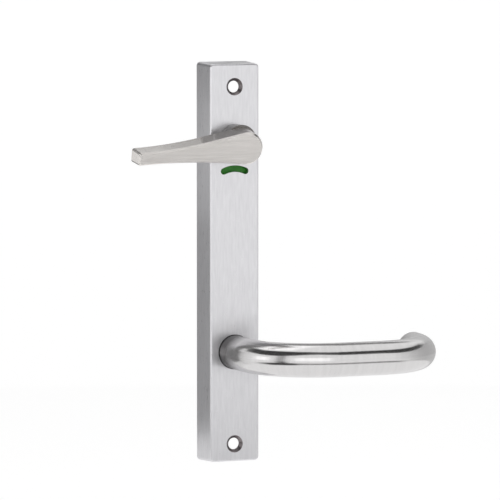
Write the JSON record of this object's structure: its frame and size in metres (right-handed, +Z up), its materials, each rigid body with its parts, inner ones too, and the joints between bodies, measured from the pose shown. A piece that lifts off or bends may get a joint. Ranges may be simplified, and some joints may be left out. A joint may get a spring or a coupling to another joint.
{
  "type": "privacy lever handle",
  "caption": "Privacy lever handle on a long narrow hollow plate: sprung return lever of round tube, long flat privacy turn and a green and red indicator behind a curved window.",
  "frame": {"origin": "on the lever's axis, in the plane of the door's face behind the casing", "axes": "+X right along the door towards the lever's end, +Y into the door, +Z up along the plate"},
  "size_m": [0.1738, 0.0865, 0.225],
  "materials": {
    "casing_steel": "satin, fine upright brushing",
    "tube_steel": "satin, brushed along the tube",
    "turn_metal": "fine satin",
    "black_nylon": "moulded, matt",
    "plated_steel": "zinc plated, dull",
    "sintered_steel": "sintered, oiled",
    "spring_steel": "drawn wire",
    "black_oxide": "blackened",
    "brass": "machined",
    "grey_acetal": "moulded, matt",
    "green_band": "moulded, satin",
    "red_band": "moulded, satin"
  },
  "bodies": {
    "casing": {"plate_casing": "casing_steel", "lever_bush": "black_nylon", "turn_bush": "black_nylon", "lever_backing_plate": "plated_steel", "backing_plate_screws": "plated_steel", "lever_return_spring": "spring_steel", "indicator_keeper_plate": "plated_steel", "keeper_plate_screws": "plated_steel"},
    "lever": {"lever_tube": "tube_steel", "lever_end_cap": "tube_steel", "lever_neck": "plated_steel", "lever_grub_screw": "black_oxide", "lever_washer": "plated_steel", "lever_cam": "sintered_steel", "lever_circlip": "black_oxide"},
    "turn": {"turn_lever": "turn_metal", "turn_spindle": "plated_steel", "turn_grub_screw": "black_oxide", "turn_friction_washer": "spring_steel", "turn_circlip": "black_oxide", "turn_pinion": "brass", "turn_roll_pin": "spring_steel"},
    "indicator": {"indicator_shuttle": "grey_acetal", "indicator_green": "green_band", "indicator_red": "red_band"}
  },
  "joints": [
    {"name": "lever_turn", "type": "hinge", "parent": "casing", "child": "lever", "pos_m": [0, -0.018, 0], "axis": [0, 1, 0], "range_deg": [0, 45], "stiffness_Nm_per_rad": 0.9, "springref_deg": -22.92, "deforming": ["lever_return_spring"]},
    {"name": "privacy_turn", "type": "hinge", "parent": "casing", "child": "turn", "pos_m": [0, -0.018, 0.1189], "axis": [0, 1, 0], "range_deg": [0, 90]},
    {"name": "indicator_slide", "type": "slide", "parent": "casing", "child": "indicator", "axis": [0, 0, 1], "range_m": [0, 0.00942]}
  ],
  "couplings": [
    {"joint": "indicator_slide", "follows": "privacy_turn", "m_per_rad": 0.006}
  ]
}
